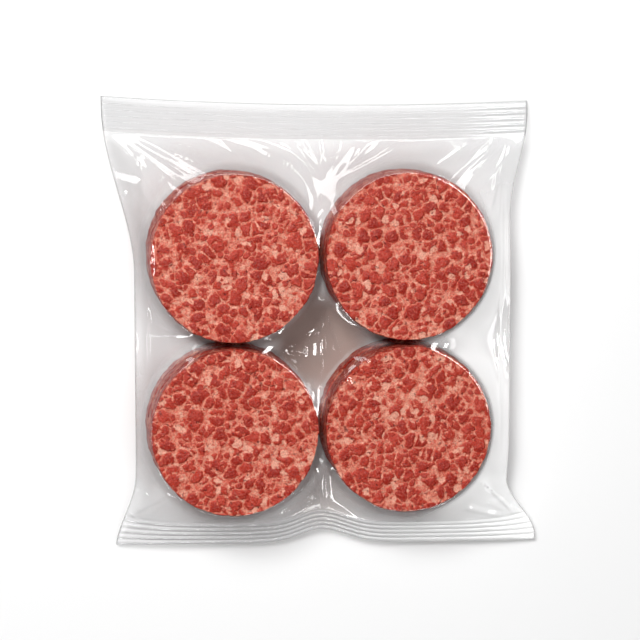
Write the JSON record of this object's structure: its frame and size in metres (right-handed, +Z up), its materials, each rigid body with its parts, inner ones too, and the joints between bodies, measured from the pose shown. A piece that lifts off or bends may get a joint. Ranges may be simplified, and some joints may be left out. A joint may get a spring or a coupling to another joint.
{
  "type": "clear film bag of raw burger patties",
  "caption": "Sealed clear film bag lying flat, with round raw minced-beef patties in stacks side by side and a crimped seal at each end.",
  "frame": {"origin": "middle of the bag's width and length, on the surface that it lies on", "axes": "+Z up, +Y towards the head seal, which is the level one, +X to the right along the seals"},
  "size_m": [0.2674, 0.2772, 0.0401],
  "materials": {
    "film": "thin clear film, glossy",
    "meat": "raw coarse mince, moist"
  },
  "bodies": {
    "root": {"film_bag": "film"}
  },
  "joints": []
}
